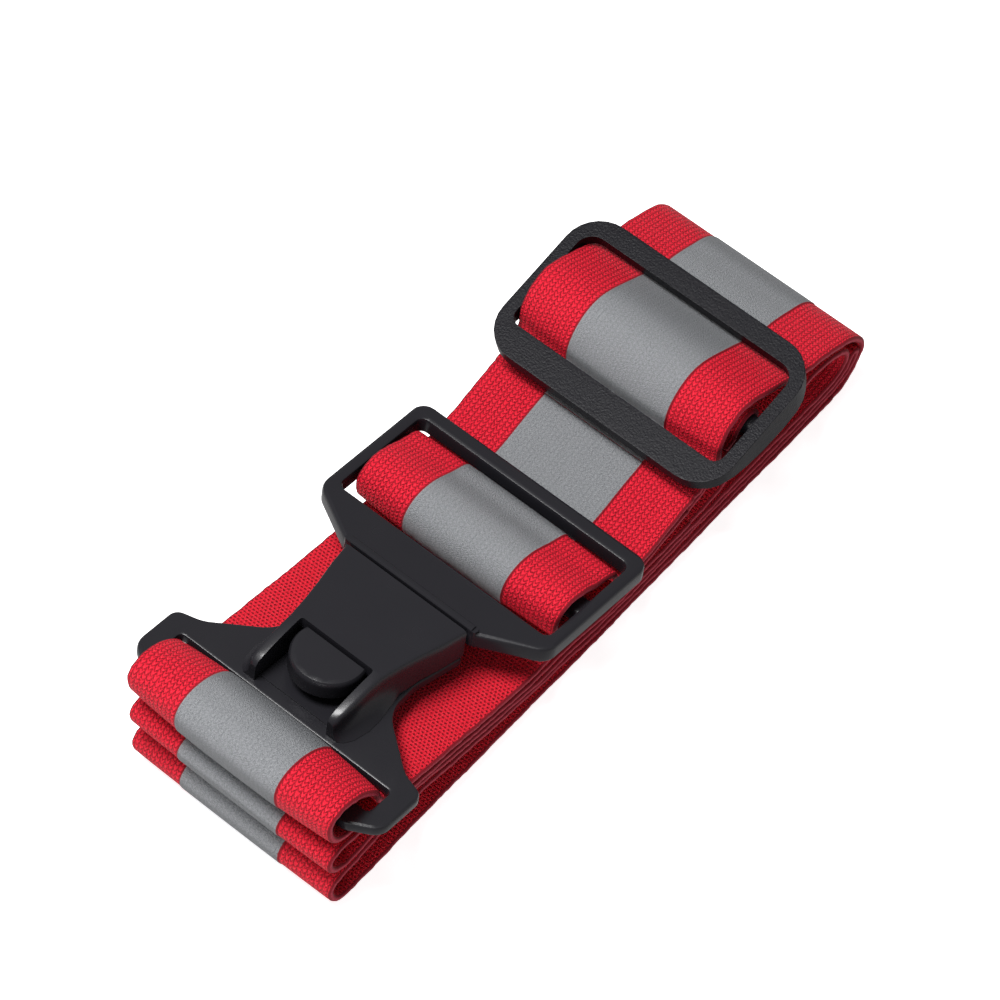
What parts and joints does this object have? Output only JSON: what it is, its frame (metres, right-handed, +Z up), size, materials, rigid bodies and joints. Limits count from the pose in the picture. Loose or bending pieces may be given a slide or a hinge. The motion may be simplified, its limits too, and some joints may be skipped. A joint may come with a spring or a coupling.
{
  "type": "luggage strap",
  "caption": "Folded elastic luggage strap with a reflective stripe, push-button side buckle and sliding adjuster.",
  "frame": {"origin": "centre of the bundle's footprint, on the ground", "axes": "+X along the bundle from the socket to the folded end, +Y across the webbing, +Z up out of the buckle side"},
  "size_m": [0.1602, 0.0614, 0.0332],
  "materials": {
    "webbing": "knitted elastic, matt",
    "reflective_stripe": "fine ribbed reflective tape",
    "thread": "sewing thread",
    "plug_plastic": "satin moulded",
    "adjuster_plastic": "fine pebble grain",
    "base_plastic": "satin moulded",
    "cover_plastic": "smooth satin",
    "button_plastic": "smooth satin",
    "latch_plastic": "satin moulded"
  },
  "bodies": {
    "strap": {"folded_webbing": "webbing", "folded_stripe_inner": "reflective_stripe", "folded_stripe_outer": "reflective_stripe", "plug_webbing": "webbing", "plug_stripe": "reflective_stripe", "plug_frame": "plug_plastic"},
    "socket": {"socket_base": "base_plastic", "socket_cover": "cover_plastic", "socket_loop_webbing": "webbing", "socket_loop_stripe": "reflective_stripe", "latch_leaf": "latch_plastic"},
    "button": {"push_button": "button_plastic"},
    "adjuster_webbing": {"adjuster_arch_webbing": "webbing", "adjuster_arch_stripe": "reflective_stripe", "sewn_loop_webbing": "webbing", "sewn_loop_stitching": "thread"},
    "adjuster": {"adjuster_frame": "adjuster_plastic"}
  },
  "joints": [
    {"name": "socket_slide", "type": "slide", "parent": "strap", "child": "socket", "axis": [-0.9848, 0, 0.1736], "range_m": [0, 0.022], "deforming": ["latch_leaf"]},
    {"name": "button_press", "type": "slide", "parent": "socket", "child": "button", "axis": [-0.1736, 0, -0.9848], "range_m": [0, 0.002], "stiffness_N_per_m": 600, "deforming": ["latch_leaf"]},
    {"name": "adjuster_slide", "type": "slide", "parent": "strap", "child": "adjuster_webbing", "axis": [-0.9817, 0, -0.1903], "range_m": [0, 0.012]},
    {"name": "adjuster_tilt", "type": "hinge", "parent": "adjuster_webbing", "child": "adjuster", "pos_m": [0.04191, 0, 0.02498], "axis": [0, 1, 0], "range_deg": [-4, 4]}
  ]
}
